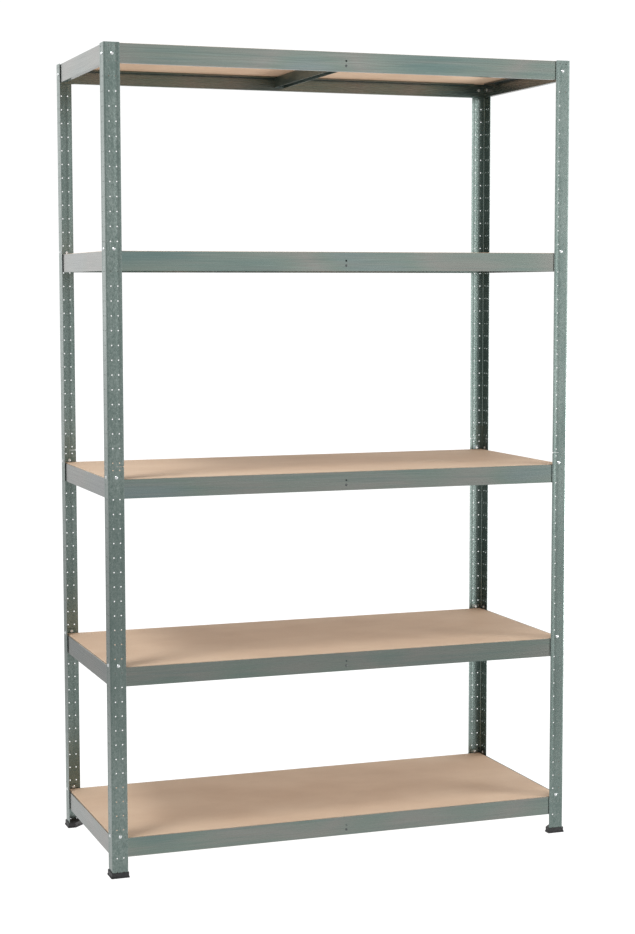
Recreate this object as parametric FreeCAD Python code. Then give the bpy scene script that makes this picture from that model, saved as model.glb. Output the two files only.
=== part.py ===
import FreeCAD, Part
import math
import os

# Boltless steel shelving: four slotted corner posts, each in two halves joined by a sleeve, and
# five shelves. A shelf is four folded beams, a centre tie and a loose board. Each beam end hooks
# two pins into the rows of small post holes and is locked by a domed stud.
# Millimetres. +Z is up, +X is to the right along the wide side, and the front faces -Y.
# The origin is on the floor, under the middle of the rack.

# Driving dimensions
SHELF_WIDTH = 1205.0  # clear width between the end beams' webs
SHELF_DEPTH = 511.0  # clear depth between the front and rear webs
HOLE_PITCH = 35.0  # spacing of the post holes
HALF_POST_PITCHES = 28.5  # length of half a post, in hole pitches
FOOT_BASE = 5.0  # plastic under a post's end
PITCHES_BETWEEN_SHELVES = 13  # from shelf 1 to 2 and from shelf 3 to 4
PITCHES_TO_LOWEST_SHELF = 12  # from shelf 4 to 5

# Sheet steel
POST_SHEET = 1.2
SLEEVE_SHEET = 1.2
BEAM_SHEET = 1.0
TIE_SHEET = 1.2
FIT_GAP = 0.2  # between a sleeve and the beam ends in front of it

# Posts
POST_FLANGE = 39.0
POST_BEND_RADIUS = 3.5
FLANGE_MIDDLE = 20.25  # from a post's fold to the line of the locking studs
ROW_OFFSET = 8.25  # from that line to each row of small holes
SMALL_HOLE_DIAMETER = 3.2
RIB_DEPTH = 0.45  # a shallow rib is pressed in along each flange's outer row of holes
RIB_HALF_WIDTH = 6.0
RIB_FOOT_RADIUS = 40.0
RIB_CREST_RADIUS = 30.0
FLANGE_CORNER_RADIUS = 3.0
JOINT_GAP = 0.5  # between the two halves of a post

# Sleeves
SLEEVE_FLANGE = 21.5  # it ends short of the posts' ribs
SLEEVE_LENGTH = 2 * HOLE_PITCH
SLEEVE_BEND_RADIUS = 2.6

# Beams
BEAM_HEIGHT = 46.0
LEDGE_DROP = 9.0  # from a beam's top edge down to the ledge that carries the board
LEDGE_WIDTH = 20.0
LEDGE_LIP = 4.0
BOTTOM_RETURN = 12.0
BEAM_END_GAP = 4.0  # from the outside of the post to a beam's end
FOLD_END_GAP = 43.0  # from the outside of the post to where the folded edges begin
STUD_ABOVE_BEAM = 5.25  # a stud's height above a beam's top edge
STUD_BELOW_TOP_BEAM = 24.25  # on the top shelf the stud is in the web instead
EAR_WIDTH = 24.0
EAR_ABOVE_STUD = 7.0
EAR_CORNER_RADIUS = 5.0
PIN_DIAMETER = 2.8

# Locking studs
STUD_HEAD_DIAMETER = 8.4
STUD_HEAD_HEIGHT = 2.6
STUD_SHANK_DIAMETER = 5.6
STUD_HOLE_DIAMETER = 6.0
STUD_TAIL_DIAMETER = 8.0
STUD_TAIL_HEIGHT = 1.5

# Centre ties and their rivets
TIE_WIDTH = 28.0
TIE_HEIGHT = 28.0
TIE_BEND_RADIUS = 2.0
TIE_LEDGE_GAP = 0.6
TIE_HOLE_DROP = 20.5  # from a beam's top edge down to the open hole above each tie rivet
TIE_HOLE_SPACING = 12.0
TIE_HOLE_DIAMETER = 5.0
RIVET_HEAD_DIAMETER = 6.4
RIVET_HEAD_HEIGHT = 1.0
RIVET_SHANK_DIAMETER = 4.6
RIVET_TAIL_DIAMETER = 6.4
RIVET_TAIL_HEIGHT = 1.2

# Boards
BOARD_THICKNESS = 10.0
BOARD_EDGE_GAP = 2.4
BOARD_CHAMFER = 0.7

# Feet
FOOT_HEIGHT = 13.0
FOOT_WALL = 2.4
FOOT_SIDE = 41.0
FOOT_SHORT_SIDE = 16.0
FOOT_CLEARANCE = 0.1
FOOT_FLARE = 1.2
FOOT_FLARE_HEIGHT = 3.0

# Places worked out from the driving dimensions
WEB_FACE = POST_SHEET + SLEEVE_SHEET + FIT_GAP  # from the outside of the rack to a beam's web
WEB_BACK = WEB_FACE + BEAM_SHEET
HEM_BACK = WEB_BACK + BEAM_SHEET
RACK_WIDTH = SHELF_WIDTH + 2 * WEB_BACK
RACK_DEPTH = SHELF_DEPTH + 2 * WEB_BACK
HALF_POST = HALF_POST_PITCHES * HOLE_PITCH
JOINT_HEIGHT = FOOT_BASE + HALF_POST
POST_TOP = JOINT_HEIGHT + HALF_POST
TOP_STUD_DROP = 0.75 * HOLE_PITCH  # from the top of a half post to its highest stud
INNER_ROW = FLANGE_MIDDLE - ROW_OFFSET
OUTER_ROW = FLANGE_MIDDLE + ROW_OFFSET
PIN_DROP = HOLE_PITCH / 2  # from a stud down to the pins, on the small holes' grid
UPPER_STUD_DROPS = [TOP_STUD_DROP, TOP_STUD_DROP + PITCHES_BETWEEN_SHELVES * HOLE_PITCH]
LOWER_STUD_DROPS = UPPER_STUD_DROPS + [UPPER_STUD_DROPS[1] + PITCHES_TO_LOWEST_SHELF * HOLE_PITCH]
STUD_HEIGHTS = [POST_TOP - drop for drop in UPPER_STUD_DROPS]
STUD_HEIGHTS += [JOINT_HEIGHT - drop for drop in LOWER_STUD_DROPS]
CUT_MARGIN = 2.0  # how far a cutting tool runs past the metal

ORIGIN = FreeCAD.Vector(0, 0, 0)
AXIS_X = FreeCAD.Vector(1, 0, 0)
AXIS_Y = FreeCAD.Vector(0, 1, 0)
AXIS_Z = FreeCAD.Vector(0, 0, 1)

# Turn about Z, and the span of a beam, for each side of the rack
SIDES = {
    "front": (0, RACK_WIDTH, FreeCAD.Vector(0, -RACK_DEPTH / 2, 0)),
    "right": (90, RACK_DEPTH, FreeCAD.Vector(RACK_WIDTH / 2, 0, 0)),
    "rear": (180, RACK_WIDTH, FreeCAD.Vector(0, RACK_DEPTH / 2, 0)),
    "left": (270, RACK_DEPTH, FreeCAD.Vector(-RACK_WIDTH / 2, 0, 0)),
}
# Signs of X and Y that point into the rack from each corner
CORNERS = {
    "front_left": (1, 1),
    "front_right": (-1, 1),
    "rear_left": (1, -1),
    "rear_right": (-1, -1),
}


def outline(corners):
    """Closed flat wire through (x, y, radius) corners, each one rounded to its radius."""
    points = [FreeCAD.Vector(x, y, 0) for x, y, radius in corners]
    starts = []
    ends = []
    arcs = []
    for index, (x, y, radius) in enumerate(corners):
        here = points[index]
        back = (points[index - 1] - here).normalize()
        ahead = (points[(index + 1) % len(points)] - here).normalize()
        half_angle = back.getAngle(ahead) / 2
        start = here + back * (radius / math.tan(half_angle))
        end = here + ahead * (radius / math.tan(half_angle))
        if radius > 0:
            inward = (back + ahead).normalize()
            middle = here + inward * (radius / math.sin(half_angle) - radius)
            arcs.append(Part.Arc(start, middle, end).toShape())
        else:
            arcs.append(None)
        starts.append(start)
        ends.append(end)
    edges = []
    for index, arc in enumerate(arcs):
        if arc is not None:
            edges.append(arc)
        edges.append(Part.makeLine(ends[index], starts[(index + 1) % len(starts)]))
    return Part.Wire(edges)


def prism(corners, height):
    """Solid that stands on the outline and rises to the height."""
    return Part.Face(outline(corners)).extrude(AXIS_Z * height)


def bar_along_x(corners, length):
    """Bar centred on X = 0 whose section is an outline of (inward, up) corners."""
    bar = prism(corners, length).translated(AXIS_Z * (-length / 2))
    return bar.rotated(ORIGIN, FreeCAD.Vector(1, 1, 1), 120)


def box(low, high):
    """Box between two opposite corners."""
    size = FreeCAD.Vector(*high) - FreeCAD.Vector(*low)
    return Part.makeBox(size.x, size.y, size.z, FreeCAD.Vector(*low))


def angle_section(offset, flange, sheet, bend_radius, has_rib=False):
    """Outline of an L section whose outer faces are the offset inside the rack's faces."""
    inner = offset + sheet
    outside = [(flange, offset, 0)]
    inside = [(flange, inner, 0)]
    if has_rib:
        outside = rib(offset) + outside
        inside = inside + rib(inner)[::-1]
    along_x = outside + inside
    along_y = [(y, x, radius) for x, y, radius in along_x[::-1]]
    return [(offset, offset, bend_radius)] + along_x + [(inner, inner, bend_radius - sheet)] + along_y


def rib(level):
    """The feet and the crest of the rib on a face at Y = level."""
    return [
        (OUTER_ROW - RIB_HALF_WIDTH, level, RIB_FOOT_RADIUS),
        (OUTER_ROW, level + RIB_DEPTH, RIB_CREST_RADIUS),
        (OUTER_ROW + RIB_HALF_WIDTH, level, RIB_FOOT_RADIUS),
    ]


def at_corner(shape, corner):
    """Shape drawn for the front left corner, mirrored and moved to a corner of the rack."""
    sign_x, sign_y = CORNERS[corner]
    if sign_x < 0:
        shape = shape.mirror(ORIGIN, AXIS_X)
    if sign_y < 0:
        shape = shape.mirror(ORIGIN, AXIS_Y)
    return shape.translated(FreeCAD.Vector(-sign_x * RACK_WIDTH / 2, -sign_y * RACK_DEPTH / 2, 0))


def on_side(shape, side):
    """Shape drawn with +Y pointing into the rack, turned and moved to a side of the rack."""
    turn, span, place = SIDES[side]
    return shape.rotated(ORIGIN, AXIS_Z, turn).translated(place)


def flange_holes(places, diameter, reach):
    """Round cutters through both flanges of a corner piece, at (from fold, height) places."""
    radius = diameter / 2
    cutters = []
    for along, height in places:
        front = FreeCAD.Vector(along, -CUT_MARGIN, height)
        side = FreeCAD.Vector(-CUT_MARGIN, along, height)
        cutters.append(Part.makeCylinder(radius, reach + 2 * CUT_MARGIN, front, AXIS_Y))
        cutters.append(Part.makeCylinder(radius, reach + 2 * CUT_MARGIN, side, AXIS_X))
    return cutters


def half_post(bottom, top, stud_drops):
    """Half a post on its own hole grid, which runs from Z = 0 to HALF_POST."""
    section = angle_section(0, POST_FLANGE, POST_SHEET, POST_BEND_RADIUS, has_rib=True)
    post = prism(section, top - bottom).translated(AXIS_Z * bottom)
    free_corners = []
    for edge in post.Edges:
        middle = edge.BoundBox.Center
        at_free_edge = max(middle.x, middle.y) > POST_FLANGE - POST_SHEET
        at_end = min(middle.z - bottom, top - middle.z) < POST_SHEET
        crosses_sheet = edge.Length < POST_SHEET + CUT_MARGIN
        if at_free_edge and at_end and crosses_sheet:
            free_corners.append(edge)
    post = post.makeFillet(FLANGE_CORNER_RADIUS, free_corners)
    heights = [(0.25 + step) * HOLE_PITCH for step in range(int(HALF_POST_PITCHES) + 1)]
    small_holes = [(row, height) for row in (INNER_ROW, OUTER_ROW) for height in heights]
    stud_holes = [(FLANGE_MIDDLE, HALF_POST - drop) for drop in stud_drops]
    cutters = flange_holes(small_holes, SMALL_HOLE_DIAMETER, POST_SHEET)
    cutters += flange_holes(stud_holes, STUD_HOLE_DIAMETER, POST_SHEET)
    return post.cut(Part.makeCompound(cutters))


def post_sleeve():
    """Inner angle that joins two half posts, its middle at Z = 0."""
    section = angle_section(POST_SHEET, SLEEVE_FLANGE, SLEEVE_SHEET, SLEEVE_BEND_RADIUS)
    sleeve = prism(section, SLEEVE_LENGTH).translated(AXIS_Z * (-SLEEVE_LENGTH / 2))
    nearest_hole = HOLE_PITCH / 4
    small_holes = [(INNER_ROW, sign * nearest_hole) for sign in (-1, 1)]
    reach = POST_SHEET + SLEEVE_SHEET
    cutters = flange_holes(small_holes, SMALL_HOLE_DIAMETER, reach)
    cutters += flange_holes([(FLANGE_MIDDLE, -TOP_STUD_DROP)], STUD_HOLE_DIAMETER, reach)
    return sleeve.cut(Part.makeCompound(cutters))


def foot():
    """Plastic foot: a block with a flared base and an L slot that the post stands in."""

    def block(grow, height):
        low = -FOOT_WALL - grow
        high = FOOT_SIDE + grow
        short = FOOT_SHORT_SIDE + grow
        corners = [(low, low, 3), (high, low, 1.5), (high, short, 2), (short, high, 2), (low, high, 1.5)]
        return prism(corners, height)

    slot_sheet = POST_SHEET + 2 * FOOT_CLEARANCE
    slot_radius = POST_BEND_RADIUS + FOOT_CLEARANCE
    slot_flange = POST_FLANGE + FOOT_CLEARANCE
    slot_section = angle_section(-FOOT_CLEARANCE, slot_flange, slot_sheet, slot_radius, has_rib=True)
    slot = prism(slot_section, FOOT_HEIGHT).translated(AXIS_Z * FOOT_BASE)
    body = block(0, FOOT_HEIGHT).fuse(block(FOOT_FLARE, FOOT_FLARE_HEIGHT))
    return body.cut(slot).removeSplitter()


def beam(span, stud_offset, has_tie):
    """Beam with its top edge at Z = 0, centred on X = 0, +Y pointing into the rack.

    stud_offset is the height of the stud from the top edge.
    """
    bottom = -BEAM_HEIGHT
    ledge_edge = WEB_FACE + LEDGE_WIDTH
    return_edge = WEB_FACE + BOTTOM_RETURN
    ledge_under = -LEDGE_DROP - BEAM_SHEET
    folds = [
        (WEB_FACE, bottom, 1.4),
        (WEB_FACE, 0, 0.9),
        (HEM_BACK, 0, 0.9),
        (HEM_BACK, -LEDGE_DROP, 0),
        (ledge_edge, -LEDGE_DROP, 1.4),
        (ledge_edge, -LEDGE_DROP - LEDGE_LIP, 0),
        (ledge_edge - BEAM_SHEET, -LEDGE_DROP - LEDGE_LIP, 0),
        (ledge_edge - BEAM_SHEET, ledge_under, 0.4),
        (WEB_BACK, ledge_under, 0),
        (WEB_BACK, bottom + BEAM_SHEET, 0.4),
        (return_edge, bottom + BEAM_SHEET, 0),
        (return_edge, bottom, 0),
    ]
    solid = bar_along_x(folds, span - 2 * FOLD_END_GAP)
    end = span / 2 - BEAM_END_GAP
    solid = solid.fuse(box((-end, WEB_FACE, bottom), (end, WEB_BACK, 0)))
    cutters = []
    for sign in (-1, 1):
        middle = sign * (span / 2 - FLANGE_MIDDLE)
        if stud_offset > 0:
            solid = solid.fuse(ear(stud_offset).translated(AXIS_X * middle))
        for row in (INNER_ROW, OUTER_ROW):
            place = FreeCAD.Vector(sign * (span / 2 - row), 0, stud_offset - PIN_DROP)
            solid = solid.fuse(Part.makeCylinder(PIN_DIAMETER / 2, WEB_BACK, place, AXIS_Y))
        cutters.append(web_hole(middle, stud_offset, STUD_HOLE_DIAMETER))
    if has_tie:
        for drop in (TIE_HOLE_DROP, TIE_HOLE_DROP + TIE_HOLE_SPACING):
            cutters.append(web_hole(0, -drop, TIE_HOLE_DIAMETER))
    return solid.cut(Part.makeCompound(cutters)).removeSplitter()


def ear(stud_offset):
    """Plate that rises from a beam's web to carry the stud, centred on X = 0."""
    half = EAR_WIDTH / 2
    top = stud_offset + EAR_ABOVE_STUD
    corners = [
        (-half, -LEDGE_DROP, 0),
        (half, -LEDGE_DROP, 0),
        (half, top, EAR_CORNER_RADIUS),
        (-half, top, EAR_CORNER_RADIUS),
    ]
    plate = prism(corners, BEAM_SHEET).rotated(ORIGIN, AXIS_X, 90)
    return plate.translated(AXIS_Y * WEB_BACK)


def web_hole(x, z, diameter):
    """Round cutter through a web and whatever is just behind it."""
    place = FreeCAD.Vector(x, 0, z)
    return Part.makeCylinder(diameter / 2, HEM_BACK + TIE_SHEET + CUT_MARGIN, place, AXIS_Y)


def turned_fastener(head, head_height, shank, grip, tail, tail_height):
    """Domed fastener on the Y axis: head before Y = 0, grip after it, then the tail.

    head, shank and tail are diameters.
    """
    dome_radius = (head**2 / 4 + head_height**2) / (2 * head_height)
    half_angle = math.asin(head / 2 / dome_radius) / 2
    tip = FreeCAD.Vector(0, -head_height, 0)
    rim = FreeCAD.Vector(head / 2, 0, 0)
    dome_middle = FreeCAD.Vector(
        dome_radius * math.sin(half_angle),
        dome_radius - head_height - dome_radius * math.cos(half_angle),
        0,
    )
    end = grip + tail_height
    bevel = tail_height / 2
    profile = [
        rim,
        FreeCAD.Vector(shank / 2, 0, 0),
        FreeCAD.Vector(shank / 2, grip, 0),
        FreeCAD.Vector(tail / 2, grip, 0),
        FreeCAD.Vector(tail / 2, end - bevel, 0),
        FreeCAD.Vector(tail / 2 - bevel, end, 0),
        FreeCAD.Vector(0, end, 0),
        tip,
    ]
    edges = [Part.Arc(tip, dome_middle, rim).toShape()]
    edges += [Part.makeLine(first, second) for first, second in zip(profile, profile[1:])]
    return Part.Face(Part.Wire(edges)).revolve(ORIGIN, AXIS_Y, 360)


def locking_studs(height):
    """Eight studs of one shelf: one through each flange of the four posts."""
    stud = turned_fastener(
        STUD_HEAD_DIAMETER,
        STUD_HEAD_HEIGHT,
        STUD_SHANK_DIAMETER,
        WEB_BACK,
        STUD_TAIL_DIAMETER,
        STUD_TAIL_HEIGHT,
    )
    studs = []
    for side, (turn, span, place) in SIDES.items():
        for sign in (-1, 1):
            middle = FreeCAD.Vector(sign * (span / 2 - FLANGE_MIDDLE), 0, height)
            studs.append(on_side(stud.translated(middle), side))
    return Part.makeCompound(studs)


def tie_rivets(beam_tops):
    """Two rivets for each centre tie, through the front and rear beams."""
    rivet = turned_fastener(
        RIVET_HEAD_DIAMETER,
        RIVET_HEAD_HEIGHT,
        RIVET_SHANK_DIAMETER,
        BEAM_SHEET + TIE_SHEET,
        RIVET_TAIL_DIAMETER,
        RIVET_TAIL_HEIGHT,
    )
    rivets = []
    for top in beam_tops:
        height = top - TIE_HOLE_DROP - TIE_HOLE_SPACING
        placed = rivet.translated(FreeCAD.Vector(0, WEB_FACE, height))
        rivets += [on_side(placed, side) for side in ("front", "rear")]
    return Part.makeCompound(rivets)


def centre_tie():
    """Inverted channel from the front beam to the rear one, measured from a beam's top edge."""
    half = TIE_WIDTH / 2
    top = -LEDGE_DROP
    bottom = top - TIE_HEIGHT
    inner = half - TIE_SHEET
    section = [
        (-half, bottom, 0),
        (-half, top, TIE_BEND_RADIUS),
        (half, top, TIE_BEND_RADIUS),
        (half, bottom, 0),
        (inner, bottom, 0),
        (inner, top - TIE_SHEET, TIE_BEND_RADIUS - TIE_SHEET),
        (-inner, top - TIE_SHEET, TIE_BEND_RADIUS - TIE_SHEET),
        (-inner, bottom, 0),
    ]
    length = RACK_DEPTH - 2 * WEB_BACK
    tie = bar_along_x(section, length)
    ledge_reach = WEB_FACE + LEDGE_WIDTH + TIE_LEDGE_GAP - WEB_BACK
    under_ledge = -LEDGE_DROP - LEDGE_LIP - TIE_LEDGE_GAP
    holes = []
    for sign in (-1, 1):
        end = sign * length / 2
        step = end - sign * ledge_reach
        tie = tie.cut(box((min(end, step), -half, under_ledge), (max(end, step), half, 0)))
        plate_back = end - sign * TIE_SHEET
        low = (min(end, plate_back), -inner, bottom)
        high = (max(end, plate_back), inner, under_ledge)
        tie = tie.fuse(box(low, high))
        for drop in (TIE_HOLE_DROP, TIE_HOLE_DROP + TIE_HOLE_SPACING):
            place = FreeCAD.Vector(end, 0, -drop)
            cutter = Part.makeCylinder(TIE_HOLE_DIAMETER / 2, 2 * TIE_SHEET, place, AXIS_X * -sign)
            holes.append(cutter)
    tie = tie.cut(Part.makeCompound(holes)).removeSplitter()
    return tie.rotated(ORIGIN, AXIS_Z, 90)


def board():
    """Board that lies loose on the ledges and the tie, with its underside at Z = 0."""
    half_x = RACK_WIDTH / 2 - HEM_BACK - BOARD_EDGE_GAP
    half_y = RACK_DEPTH / 2 - HEM_BACK - BOARD_EDGE_GAP
    plain = box((-half_x, -half_y, 0), (half_x, half_y, BOARD_THICKNESS))
    return plain.makeChamfer(BOARD_CHAMFER, plain.Edges)


def build():
    """Every piece of the rack, by node name."""
    pieces = {}
    upper = half_post(JOINT_GAP / 2, HALF_POST, UPPER_STUD_DROPS).translated(AXIS_Z * JOINT_HEIGHT)
    lower = half_post(0, HALF_POST - JOINT_GAP / 2, LOWER_STUD_DROPS).translated(AXIS_Z * FOOT_BASE)
    sleeve = post_sleeve().translated(AXIS_Z * JOINT_HEIGHT)
    foot_cap = foot()
    for corner in CORNERS:
        pieces[f"post_{corner}_upper"] = at_corner(upper, corner)
        pieces[f"post_{corner}_lower"] = at_corner(lower, corner)
        pieces[f"post_sleeve_{corner}"] = at_corner(sleeve, corner)
        pieces[f"foot_{corner}"] = at_corner(foot_cap, corner)
    beam_tops = []
    for number, stud_height in enumerate(STUD_HEIGHTS, start=1):
        stud_offset = -STUD_BELOW_TOP_BEAM if number == 1 else STUD_ABOVE_BEAM
        beam_top = stud_height - stud_offset
        beam_tops.append(beam_top)
        for side, (turn, span, place) in SIDES.items():
            has_tie = side in ("front", "rear")
            side_beam = on_side(beam(span, stud_offset, has_tie), side)
            pieces[f"beam_{number}_{side}"] = side_beam.translated(AXIS_Z * beam_top)
        pieces[f"centre_tie_{number}"] = centre_tie().translated(AXIS_Z * beam_top)
        pieces[f"board_{number}"] = board().translated(AXIS_Z * (beam_top - LEDGE_DROP))
        pieces[f"locking_studs_{number}"] = locking_studs(stud_height)
    pieces["tie_rivets"] = tie_rivets(beam_tops)
    return pieces


os.makedirs("parts", exist_ok=True)
for name, shape in build().items():
    shape.exportStep(f"parts/{name}.step")
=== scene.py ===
import math

import bpy
from mathutils import Matrix, Vector

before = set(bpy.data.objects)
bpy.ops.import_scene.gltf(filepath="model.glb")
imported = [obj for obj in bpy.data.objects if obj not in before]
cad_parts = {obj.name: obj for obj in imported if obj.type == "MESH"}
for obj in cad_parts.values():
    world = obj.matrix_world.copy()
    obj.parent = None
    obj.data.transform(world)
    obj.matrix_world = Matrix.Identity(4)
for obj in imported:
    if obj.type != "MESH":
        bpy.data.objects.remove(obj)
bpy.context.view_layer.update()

# Camera, in metres and degrees, in the rack's frame
CAMERA_PLACE = (-1.6991, -4.7868, 1.4252)
CAMERA_YAW = -19.710
CAMERA_PITCH = -5.219
CAMERA_ROLL = 0.080
CAMERA_LENS = 75.37
CAMERA_SENSOR = 36.0  # millimetres, as the lens

# Surroundings
SIDE_LIGHT = 0.84  # brightness of the white studio beside the rack
BACK_LIGHT = 1.26  # behind it
FRONT_LIGHT = 0.72  # on the camera's side
WINDOW_LIGHT = 1.02  # and what a soft window there adds
CEILING_LIGHT = 0.60  # overhead, as a part of the walls' brightness
SEEN_WHITE = 1.05  # floor and wall as the camera sees them
FLOOR_SIZE = 60.0
FLOOR_REACH = 20.0  # metres over which the floor's brightness changes
# Metres from the middle of the rack, and the floor's glow there
FLOOR_GLOW = ((0.9, 0.82), (1.5, 0.72), (2.6, 0.45), (4.5, 0.55), (10.0, 0.80), (20.0, 0.95))
FLOOR_GREY = (0.12, 0.12, 0.12)
# Where the surroundings change, by the part of the direction towards the back of the rack
FRONT_TO_SIDE = (-0.5, 0.3)
SIDE_TO_BACK = (0.6, 0.9)
WALL_TO_CEILING = (0.25, 0.8)  # by its upward part
# Where the window starts and is full: tangents of the turn to the right of straight ahead of the
# rack, then the upward part of the direction and its part towards the back
WINDOW_LEFT = (0.24, 0.33)
WINDOW_RIGHT = (0.56, 0.42)
WINDOW_TOP = (0.5, 0.25)
WINDOW_BACK = (-0.3, -0.5)

# Area lights: name, place, where they point, width and height in metres, and watts
SOFTBOXES = (
    ("key_left", (-1.9, -0.9, 3.3), (-0.5, 0.0, 0.9), (0.8, 0.8), 46.0),
    ("fill_low", (3.7, 1.2, 0.5), (0.0, 0.0, 1.98), (3.0, 1.0), 160.0),
    ("strip_right", (4.1, -3.8, 1.2), (0.6, 0.0, 1.2), (1.4, 2.0), 19.0),
    ("strip_near", (1.2, -0.72, 1.1), (0.59, 0.26, 1.1), (0.3, 2.3), 6.5),
)

# Colours, linear
WHITE = (1.0, 1.0, 1.0, 1.0)
TEAL = (0.142, 0.205, 0.192)
GREEN_GREY = (0.196, 0.240, 0.212)
WARM_GREY = (0.245, 0.248, 0.228)
BLUE_GREY = (0.192, 0.238, 0.246)
# Paler, warmer grey of the painted sheen on the end beams
SHEEN_GREY = (0.262, 0.252, 0.244)
POST_DARK = (0.125, 0.172, 0.158)
POST_MID = (0.178, 0.226, 0.208)
POST_LIGHT = (0.262, 0.310, 0.292)
# Pale zinc of the painted highlights on the edges of the posts, sleeves and ties
HIGHLIGHT_ZINC = (0.52, 0.54, 0.53)
BRIGHT_ZINC = (0.92, 0.94, 0.94)
DULL_ZINC = (0.66, 0.69, 0.70)
RIVET_GREY = (0.075, 0.085, 0.082)
RIVET_WORN = (0.16, 0.17, 0.17)
BOARD_MID = (0.605, 0.435, 0.303)
BOARD_LIGHT = (0.685, 0.518, 0.375)
BOARD_DARK = (0.48, 0.333, 0.222)
EDGE_LIGHT = (0.80, 0.65, 0.50)
EDGE_DARK = (0.56, 0.42, 0.30)
FOOT_BLACK = (0.013, 0.013, 0.014)
FOOT_WORN = (0.045, 0.045, 0.047)

# Roughness at the low and the high end of each finish's own pattern
BEAM_ROUGHNESS = (0.32, 0.22)
POST_ROUGHNESS = (0.36, 0.22)
SATIN_ROUGHNESS = (0.48, 0.34)
STUD_ROUGHNESS = (0.42, 0.26)
RIVET_ROUGHNESS = (0.52, 0.36)
BOARD_ROUGHNESS = (0.62, 0.80)
FOOT_ROUGHNESS = (0.50, 0.64)

SHELVES = range(1, 6)
END_BEAM_SHEEN = 0.6  # how far the end beams' coat is moved towards a paler, warmer grey: painted sheen for the brighter grazing reflection on their sides
PATTERN_STEP = (3.1, 1.7, 2.3)  # moves the beams' and boards' patterns on from shelf to shelf
FIBRE_SCALES = ((260.0, 900.0, 900.0), (900.0, 260.0, 900.0))  # fibres along X, then along Y
FIBRE_STRENGTH = 0.5
EDGE_SAMPLES = 4
SHARP_EDGE = 0.001  # metres of the edge mark beside a cut edge: a painted highlight on the posts, sleeves and ties
SOFT_EDGE = 0.0012  # and beside a folded or moulded one: painted shade on the beams' folds, scuffs on the feet
EDGE_START = 0.02  # how far a rounded normal must turn before the edge mark starts
EDGE_FULL = 0.22  # and where the edge mark is full

# Sockets of the colour Mix node that share a name with others, by number
MIX_COLOURS = (6, 7)
MIX_RESULT = 2


class Nodes:
    """Adds nodes to a tree, and gives back their outputs."""

    def __init__(self, tree):
        self.tree = tree

    def link(self, source, target):
        self.tree.links.new(source, target)

    def plug(self, value, socket):
        """Links an output to the socket, or sets a plain number on it."""
        if isinstance(value, (int, float)):
            socket.default_value = value
        else:
            self.link(value, socket)

    def math(self, operation, *values):
        node = self.tree.nodes.new("ShaderNodeMath")
        node.operation = operation
        for value, socket in zip(values, node.inputs):
            self.plug(value, socket)
        return node.outputs["Value"]

    def span(self, factor, low, high, to_low=0.0, to_high=1.0, curve="LINEAR"):
        """Number mapped from one range to another, and kept inside it."""
        node = self.tree.nodes.new("ShaderNodeMapRange")
        node.interpolation_type = curve
        for name, value in (
            ("From Min", low),
            ("From Max", high),
            ("To Min", to_low),
            ("To Max", to_high),
        ):
            node.inputs[name].default_value = value
        self.link(factor, node.inputs["Value"])
        return node.outputs["Result"]

    def split(self, vector):
        node = self.tree.nodes.new("ShaderNodeSeparateXYZ")
        self.link(vector, node.inputs["Vector"])
        return node.outputs

    def is_seen(self):
        """1 where the camera itself looks, and 0 for light and reflections."""
        return self.tree.nodes.new("ShaderNodeLightPath").outputs["Is Camera Ray"]


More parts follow.
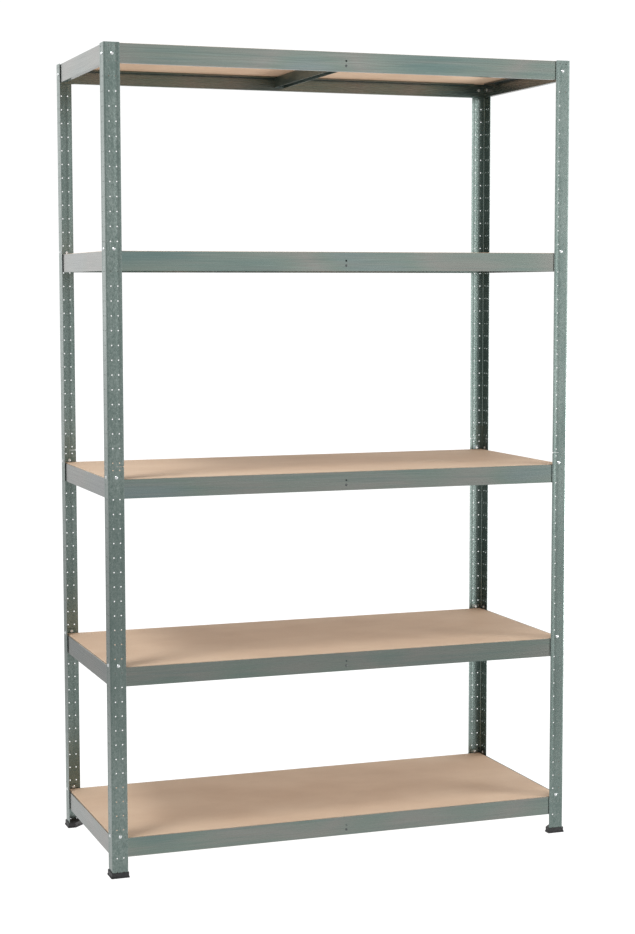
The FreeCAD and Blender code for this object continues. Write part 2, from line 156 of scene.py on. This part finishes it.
class Material(Nodes):
    """Nodes around one Principled shader, with patterns fixed to each piece."""

    def __init__(self, name):
        self.material = bpy.data.materials.new(name)
        self.material.use_nodes = True
        super().__init__(self.material.node_tree)
        self.shader = self.tree.nodes["Principled BSDF"]
        coordinates = self.tree.nodes.new("ShaderNodeTexCoord")
        self.place = coordinates.outputs["Object"]
        self.bump_chain = None

    def set(self, **values):
        """Plain numbers on the shader's own sockets."""
        for name, value in values.items():
            self.shader.inputs[name.replace("_", " ")].default_value = value

    def scaled(self, scale, offset=(0, 0, 0)):
        node = self.tree.nodes.new("ShaderNodeMapping")
        node.inputs["Scale"].default_value = scale
        node.inputs["Location"].default_value = offset
        self.link(self.place, node.inputs["Vector"])
        return node.outputs["Vector"]

    def noise(self, scale, offset=(0, 0, 0), detail=3.0, roughness=0.55, distortion=0.0):
        node = self.tree.nodes.new("ShaderNodeTexNoise")
        node.inputs["Scale"].default_value = 1.0
        node.inputs["Detail"].default_value = detail
        node.inputs["Roughness"].default_value = roughness
        node.inputs["Distortion"].default_value = distortion
        self.link(self.scaled(scale, offset), node.inputs["Vector"])
        return node.outputs["Fac"]

    def cells(self, scale, offset=(0, 0, 0)):
        node = self.tree.nodes.new("ShaderNodeTexVoronoi")
        node.inputs["Scale"].default_value = 1.0
        self.link(self.scaled(scale, offset), node.inputs["Vector"])
        split = self.tree.nodes.new("ShaderNodeSeparateColor")
        self.link(node.outputs["Color"], split.inputs["Color"])
        return split.outputs["Red"]

    def ramp(self, factor, *stops):
        """Colour ramp through (position, colour) stops."""
        node = self.tree.nodes.new("ShaderNodeValToRGB")
        elements = node.color_ramp.elements
        while len(elements) < len(stops):
            elements.new(0.5)
        for element, (position, colour) in zip(elements, stops):
            element.position = position
            element.color = (*colour, 1.0)
        self.link(factor, node.inputs["Fac"])
        return node.outputs["Color"]

    def mix(self, factor, first, second):
        """Colour mix. factor is an output or a number, first and second are outputs or colours."""
        node = self.tree.nodes.new("ShaderNodeMix")
        node.data_type = "RGBA"
        self.plug(factor, node.inputs["Factor"])
        for colour, socket in zip((first, second), MIX_COLOURS):
            if isinstance(colour, tuple):
                node.inputs[socket].default_value = (*colour, 1.0)
            else:
                self.link(colour, node.inputs[socket])
        return node.outputs[MIX_RESULT]

    def tint(self, colour, pattern, reach, target, strength):
        """Moves a colour towards the target as the pattern goes through the reach."""
        return self.mix(self.span(pattern, *reach, 0.0, strength), colour, target)

    def edge(self, radius):
        """1 on sharp edges and 0 on flat faces, from a rounded normal."""
        bevel = self.tree.nodes.new("ShaderNodeBevel")
        bevel.samples = EDGE_SAMPLES
        bevel.inputs["Radius"].default_value = radius
        geometry = self.tree.nodes.new("ShaderNodeNewGeometry")
        dot = self.tree.nodes.new("ShaderNodeVectorMath")
        dot.operation = "DOT_PRODUCT"
        self.link(bevel.outputs["Normal"], dot.inputs[0])
        self.link(geometry.outputs["Normal"], dot.inputs[1])
        return self.span(dot.outputs["Value"], 1 - EDGE_START, 1 - EDGE_FULL)

    def bump(self, height, depth, strength=1.0):
        """Adds a bump of that depth, in metres, on top of the earlier ones."""
        node = self.tree.nodes.new("ShaderNodeBump")
        node.inputs["Distance"].default_value = depth
        node.inputs["Strength"].default_value = strength
        self.link(height, node.inputs["Height"])
        if self.bump_chain is not None:
            self.link(self.bump_chain, node.inputs["Normal"])
        self.bump_chain = node.outputs["Normal"]

    def finish(self, colour, roughness):
        self.link(colour, self.shader.inputs["Base Color"])
        self.link(roughness, self.shader.inputs["Roughness"])
        if self.bump_chain is not None:
            self.link(self.bump_chain, self.shader.inputs["Normal"])
        return self.material


def along(axis, length_scale, cross_scale):
    """Texture scale that is stretched along one axis of the rack."""
    return tuple(length_scale if letter == axis else cross_scale for letter in "xyz")


def beam_steel(name, axis, offset, pale=0.0):
    """Rolled sheet with a green-grey coat: long patches of tint and fine rolling streaks.

    The last argument moves the whole coat towards a warmer, lighter grey: painted sheen for the
    brighter grazing reflection on the end beams' sides.
    """
    coat = Material(name)
    coat.set(Metallic=1.0)
    patch = coat.noise(along(axis, 2.4, 5.0), offset, detail=1.0)
    colour = coat.ramp(
        patch,
        (0.34, TEAL),
        (0.44, GREEN_GREY),
        (0.54, WARM_GREY),
        (0.62, GREEN_GREY),
        (0.72, BLUE_GREY),
    )
    band = coat.noise(along(axis, 3.5, 95.0), offset, detail=2.0)
    colour = coat.tint(colour, band, (0.5, 0.72), WARM_GREY, 0.45)
    colour = coat.tint(colour, band, (0.48, 0.28), TEAL, 0.45)
    # Painted sheen: the end beams get a paler, warmer coat with weaker streaks, for the brighter
    # grazing reflection on their sides
    colour = coat.mix(pale, colour, SHEEN_GREY)
    streak = coat.noise(along(axis, 7.0, 520.0), offset, detail=4.0, roughness=0.65)
    colour = coat.tint(colour, streak, (0.45, 0.75), POST_LIGHT, 0.35 * (1 - pale))
    colour = coat.tint(colour, streak, (0.45, 0.25), POST_DARK, 0.30 * (1 - pale))
    speck = coat.noise(along(axis, 240.0, 900.0), offset, detail=2.0)
    colour = coat.tint(colour, speck, (0.62, 0.8), POST_DARK, 0.3)
    # Painted shade: the beams' folded edges are darkened towards the dark coat, broken up by the
    # streaks
    edge_mask = coat.math("MULTIPLY", coat.edge(SOFT_EDGE), coat.span(streak, 0.3, 0.6, 0.45, 0.9))
    colour = coat.mix(edge_mask, colour, POST_DARK)
    roughness = coat.span(streak, 0.25, 0.8, *BEAM_ROUGHNESS)
    coat.bump(streak, depth=0.00005)
    coat.bump(coat.noise((14.0, 14.0, 14.0), offset, detail=1.0), depth=0.0008, strength=0.15)
    return coat.finish(colour, roughness)


def post_steel(name):
    """Sheet with the same coat, finely mottled by the zinc under it."""
    coat = Material(name)
    coat.set(Metallic=1.0)
    cloud = coat.noise((22.0, 22.0, 6.0), offset=(2.0, 5.0, 1.0), detail=2.0)
    mottle = coat.noise((330.0, 330.0, 190.0), offset=(7.0, 1.0, 3.0), detail=4.0, roughness=0.65)
    spangle = coat.cells((260.0, 260.0, 170.0), offset=(3.0, 2.0, 8.0))
    base = coat.ramp(
        coat.math("ADD", coat.math("MULTIPLY", cloud, 0.3), coat.math("MULTIPLY", mottle, 0.7)),
        (0.36, POST_DARK),
        (0.50, POST_MID),
        (0.66, POST_LIGHT),
    )
    base = coat.tint(base, spangle, (0.0, 1.0), POST_LIGHT, 0.22)
    streak = coat.noise((600.0, 600.0, 9.0), offset=(1.0, 6.0, 2.0), detail=3.0)
    base = coat.tint(base, streak, (0.5, 0.8), POST_DARK, 0.25)
    # Painted highlight: the posts' edges are lightened towards a pale zinc, broken up by the
    # mottle
    edge_mask = coat.math("MULTIPLY", coat.edge(SHARP_EDGE), coat.span(mottle, 0.35, 0.6, 0.3, 0.9))
    colour = coat.mix(edge_mask, base, HIGHLIGHT_ZINC)
    roughness = coat.span(mottle, 0.3, 0.7, *POST_ROUGHNESS)
    coat.bump(mottle, depth=0.00010)
    coat.bump(streak, depth=0.00004)
    return coat.finish(colour, roughness)


def plain_steel(name, axis):
    """Satin zinc sheet of the sleeves and the centre ties."""
    coat = Material(name)
    coat.set(Metallic=1.0)
    cloud = coat.noise(along(axis, 7.0, 30.0), offset=(4.0, 4.0, 9.0), detail=3.0)
    colour = coat.ramp(cloud, (0.35, POST_DARK), (0.5, POST_MID), (0.7, GREEN_GREY))
    grain = coat.noise(along(axis, 20.0, 700.0), offset=(1.0, 3.0, 5.0), detail=3.0)
    colour = coat.tint(colour, grain, (0.4, 0.75), POST_LIGHT, 0.25)
    # Painted highlight: the sleeves' and ties' edges are lightened towards a pale zinc
    colour = coat.mix(coat.math("MULTIPLY", coat.edge(SHARP_EDGE), 0.7), colour, HIGHLIGHT_ZINC)
    coat.bump(grain, depth=0.00005)
    return coat.finish(colour, coat.span(grain, 0.3, 0.7, *SATIN_ROUGHNESS))


def turned_steel(name, dull, bright, roughness):
    """Plating of the studs and rivets, with a light haze where it is worn."""
    coat = Material(name)
    coat.set(Metallic=1.0)
    haze = coat.noise((420.0, 420.0, 420.0), detail=4.0)
    colour = coat.ramp(haze, (0.35, dull), (0.6, bright))
    coat.bump(coat.noise((1800.0, 1800.0, 1800.0), detail=2.0), depth=0.00002)
    return coat.finish(colour, coat.span(haze, 0.3, 0.7, *roughness))


def fibreboard(name, offset):
    """Raw hardboard: short pale and dark fibres, soft blotches, and coarser layered edges."""
    coat = Material(name)
    coat.set(Specular_IOR_Level=0.28)
    blotch = coat.noise((5.0, 7.0, 5.0), offset, detail=3.0)
    colour = coat.ramp(blotch, (0.3, BOARD_MID), (0.7, BOARD_LIGHT))
    for scale in FIBRE_SCALES:
        fibre = coat.noise(scale, offset, detail=3.0, roughness=0.7, distortion=1.2)
        colour = coat.tint(colour, fibre, (0.56, 0.74), BOARD_DARK, FIBRE_STRENGTH)
        colour = coat.tint(colour, fibre, (0.44, 0.28), BOARD_LIGHT, FIBRE_STRENGTH)
    geometry = coat.tree.nodes.new("ShaderNodeNewGeometry")
    level = coat.math("ABSOLUTE", coat.split(geometry.outputs["Normal"])["Z"])
    upright = coat.span(level, 0.9, 0.5)
    layers = coat.noise((60.0, 60.0, 1400.0), offset, detail=3.0)
    colour = coat.mix(upright, colour, coat.ramp(layers, (0.35, EDGE_DARK), (0.65, EDGE_LIGHT)))
    grain = coat.noise((700.0, 700.0, 700.0), offset, detail=4.0, roughness=0.7)
    coat.bump(grain, depth=0.00018, strength=0.6)
    coat.bump(layers, depth=0.0003, strength=0.3)
    return coat.finish(colour, coat.span(grain, 0.3, 0.7, *BOARD_ROUGHNESS))


def foot_plastic(name):
    """Matte black moulding, scuffed on its edges."""
    coat = Material(name)
    scuff = coat.noise((160.0, 160.0, 160.0), detail=4.0)
    edge_mask = coat.math("MULTIPLY", coat.edge(SOFT_EDGE), coat.span(scuff, 0.45, 0.65, 0.1, 0.8))
    colour = coat.mix(edge_mask, coat.ramp(scuff, (0.4, FOOT_BLACK), (0.8, FOOT_WORN)), FOOT_WORN)
    coat.bump(coat.noise((1500.0, 1500.0, 1500.0), detail=2.0), depth=0.00006)
    return coat.finish(colour, coat.span(scuff, 0.3, 0.7, *FOOT_ROUGHNESS))


def assign(names, material):
    """Gives CAD nodes a finish, and keeps the node's own slot count."""
    for name in names:
        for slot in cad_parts[name].material_slots:
            slot.material = material


def nodes_with(*words):
    return sorted(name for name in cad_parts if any(word in name for word in words))


posts = [name for name in nodes_with("post_") if "sleeve" not in name]
assign(posts, post_steel("post_coat"))
assign(nodes_with("post_sleeve"), plain_steel("sleeve_coat", "z"))
assign(nodes_with("centre_tie"), plain_steel("tie_coat", "y"))
bright_zinc = turned_steel("bright_zinc", DULL_ZINC, BRIGHT_ZINC, STUD_ROUGHNESS)
assign(nodes_with("studs"), bright_zinc)
dark_plating = turned_steel("dark_plating", RIVET_GREY, RIVET_WORN, RIVET_ROUGHNESS)
assign(nodes_with("rivets"), dark_plating)
assign(nodes_with("foot_"), foot_plastic("foot_black"))
for number in SHELVES:
    shift = tuple(number * step for step in PATTERN_STEP)
    long_beams = [f"beam_{number}_front", f"beam_{number}_rear"]
    end_beams = [f"beam_{number}_left", f"beam_{number}_right"]
    assign(long_beams, beam_steel(f"long_beam_coat_{number}", "x", shift))
    assign(end_beams, beam_steel(f"end_beam_coat_{number}", "y", shift, END_BEAM_SHEEN))
    assign([f"board_{number}"], fibreboard(f"fibreboard_{number}", shift))


def make_floor():
    """A plain white studio floor, lit around the rack and dimmer a few steps away."""
    half = FLOOR_SIZE / 2
    corners = [(-half, -half, 0), (half, -half, 0), (half, half, 0), (-half, half, 0)]
    mesh = bpy.data.meshes.new("studio_floor")
    mesh.from_pydata(corners, [], [(0, 1, 2, 3)])
    floor = bpy.data.objects.new("studio_floor", mesh)
    bpy.context.scene.collection.objects.link(floor)
    white = Material("studio_floor_white")
    white.set(Base_Color=(*FLOOR_GREY, 1.0), Roughness=0.9, Specular_IOR_Level=0.0)
    white.set(Emission_Color=WHITE)
    distance = white.tree.nodes.new("ShaderNodeVectorMath")
    distance.operation = "LENGTH"
    white.link(white.place, distance.inputs[0])
    reach = white.span(distance.outputs["Value"], 0.0, FLOOR_REACH)
    stops = [(place / FLOOR_REACH, (glow, glow, glow)) for place, glow in FLOOR_GLOW]
    seen_glow = (SEEN_WHITE, SEEN_WHITE, SEEN_WHITE)
    glow = white.mix(white.is_seen(), white.ramp(reach, *stops), seen_glow)
    white.link(glow, white.shader.inputs["Emission Strength"])
    mesh.materials.append(white.material)


def make_world():
    """White studio: a soft window on the camera's side, a brighter back and a dimmer ceiling."""
    world = bpy.data.worlds.new("studio")
    bpy.context.scene.world = world
    world.use_nodes = True
    sky = Nodes(world.node_tree)
    background = sky.tree.nodes["Background"]
    background.inputs["Color"].default_value = WHITE
    coordinates = sky.tree.nodes.new("ShaderNodeTexCoord")
    direction = sky.split(coordinates.outputs["Generated"])

    def smooth(value, low, high, to_low=0.0, to_high=1.0):
        return sky.span(value, low, high, to_low, to_high, curve="SMOOTHSTEP")

    turn = sky.math("DIVIDE", direction["X"], sky.math("MULTIPLY", direction["Y"], -1.0))
    window = sky.math("MULTIPLY", smooth(turn, *WINDOW_LEFT), smooth(turn, *WINDOW_RIGHT))
    window = sky.math("MULTIPLY", window, smooth(direction["Z"], *WINDOW_TOP))
    window = sky.math("MULTIPLY", window, smooth(direction["Y"], *WINDOW_BACK))
    walls = smooth(direction["Y"], *FRONT_TO_SIDE, FRONT_LIGHT, SIDE_LIGHT)
    behind = smooth(direction["Y"], *SIDE_TO_BACK, 0.0, BACK_LIGHT - SIDE_LIGHT)
    walls = sky.math("ADD", walls, behind)
    walls = sky.math("ADD", walls, sky.math("MULTIPLY", window, WINDOW_LIGHT))
    upward = smooth(direction["Z"], *WALL_TO_CEILING, 1.0, CEILING_LIGHT)
    light = sky.math("MULTIPLY", walls, upward)
    choose = sky.tree.nodes.new("ShaderNodeMix")
    sky.link(sky.is_seen(), choose.inputs["Factor"])
    sky.link(light, choose.inputs["A"])
    choose.inputs["B"].default_value = SEEN_WHITE
    sky.link(choose.outputs["Result"], background.inputs["Strength"])


def make_softbox(name, place, aim, size, power):
    """Rectangular area light that points at a place."""
    data = bpy.data.lights.new(name, "AREA")
    data.shape = "RECTANGLE"
    data.size, data.size_y = size
    data.energy = power
    light = bpy.data.objects.new(name, data)
    bpy.context.scene.collection.objects.link(light)
    light.location = place
    light.rotation_euler = (Vector(aim) - Vector(place)).to_track_quat("-Z", "Y").to_euler()


def make_camera():
    data = bpy.data.cameras.new("camera")
    data.lens = CAMERA_LENS
    data.sensor_width = CAMERA_SENSOR
    data.sensor_fit = "AUTO"
    camera = bpy.data.objects.new("camera", data)
    bpy.context.scene.collection.objects.link(camera)
    turn = Matrix.Rotation(math.radians(CAMERA_YAW), 4, "Z")
    tilt = Matrix.Rotation(math.radians(90 + CAMERA_PITCH), 4, "X")
    roll = Matrix.Rotation(math.radians(-CAMERA_ROLL), 4, "Z")
    camera.matrix_world = Matrix.Translation(CAMERA_PLACE) @ turn @ tilt @ roll
    bpy.context.scene.camera = camera


make_floor()
make_world()
for softbox in SOFTBOXES:
    make_softbox(*softbox)
make_camera()
bpy.context.scene.view_settings.view_transform = "Standard"
